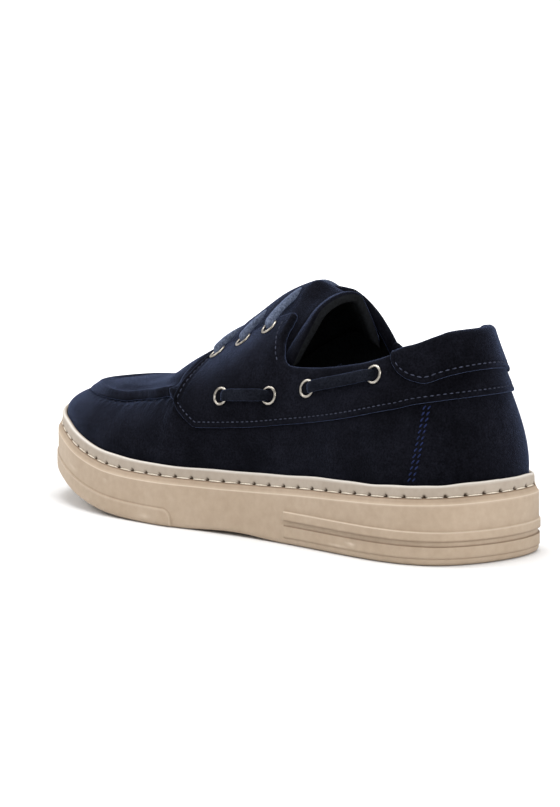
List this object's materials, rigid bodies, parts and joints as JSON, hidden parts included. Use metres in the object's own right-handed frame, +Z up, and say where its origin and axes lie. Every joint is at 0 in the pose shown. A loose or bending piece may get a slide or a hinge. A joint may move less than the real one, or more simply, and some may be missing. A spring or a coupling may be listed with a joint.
{
  "type": "boat shoe",
  "caption": "Left suede boat shoe with a moccasin apron, side laces through metal eyelets and a rubber cup sole.",
  "frame": {"origin": "on the floor, under the middle of the sole's bounding box", "axes": "+Y towards the toe, +X towards the inner (medial) side, +Z up"},
  "size_m": [0.1068, 0.3012, 0.1146],
  "materials": {
    "sole_rubber": "satin",
    "strip_rubber": "satin",
    "insole_lining": "matte",
    "suede": "suede nap",
    "suede_dark": "suede nap",
    "lace": "matte",
    "eyelet_metal": "polished"
  },
  "bodies": {
    "root": {"outsole": "sole_rubber", "rim_strip": "strip_rubber", "insole": "insole_lining", "upper": "suede", "tongue": "suede_dark", "apron": "suede", "saddle_lateral": "suede", "saddle_medial": "suede", "heel_patch": "suede", "side_eyelet_lateral_front": "eyelet_metal", "side_eyelet_lateral_front_rear": "eyelet_metal", "side_eyelet_lateral_rear_front": "eyelet_metal", "side_eyelet_lateral_rear": "eyelet_metal", "side_eyelet_medial_front": "eyelet_metal", "side_eyelet_medial_front_rear": "eyelet_metal", "side_eyelet_medial_rear_front": "eyelet_metal", "side_eyelet_medial_rear": "eyelet_metal", "throat_eyelet_lateral_low": "eyelet_metal", "throat_eyelet_lateral_middle": "eyelet_metal", "throat_eyelet_lateral_top": "eyelet_metal", "throat_eyelet_medial_low": "eyelet_metal", "throat_eyelet_medial_middle": "eyelet_metal", "throat_eyelet_medial_top": "eyelet_metal", "side_lace_lateral_front": "lace", "side_lace_lateral_rear": "lace", "side_lace_medial_front": "lace", "side_lace_medial_rear": "lace", "throat_lace_low": "lace", "throat_lace_middle": "lace", "throat_lace_top": "lace"}
  },
  "joints": []
}
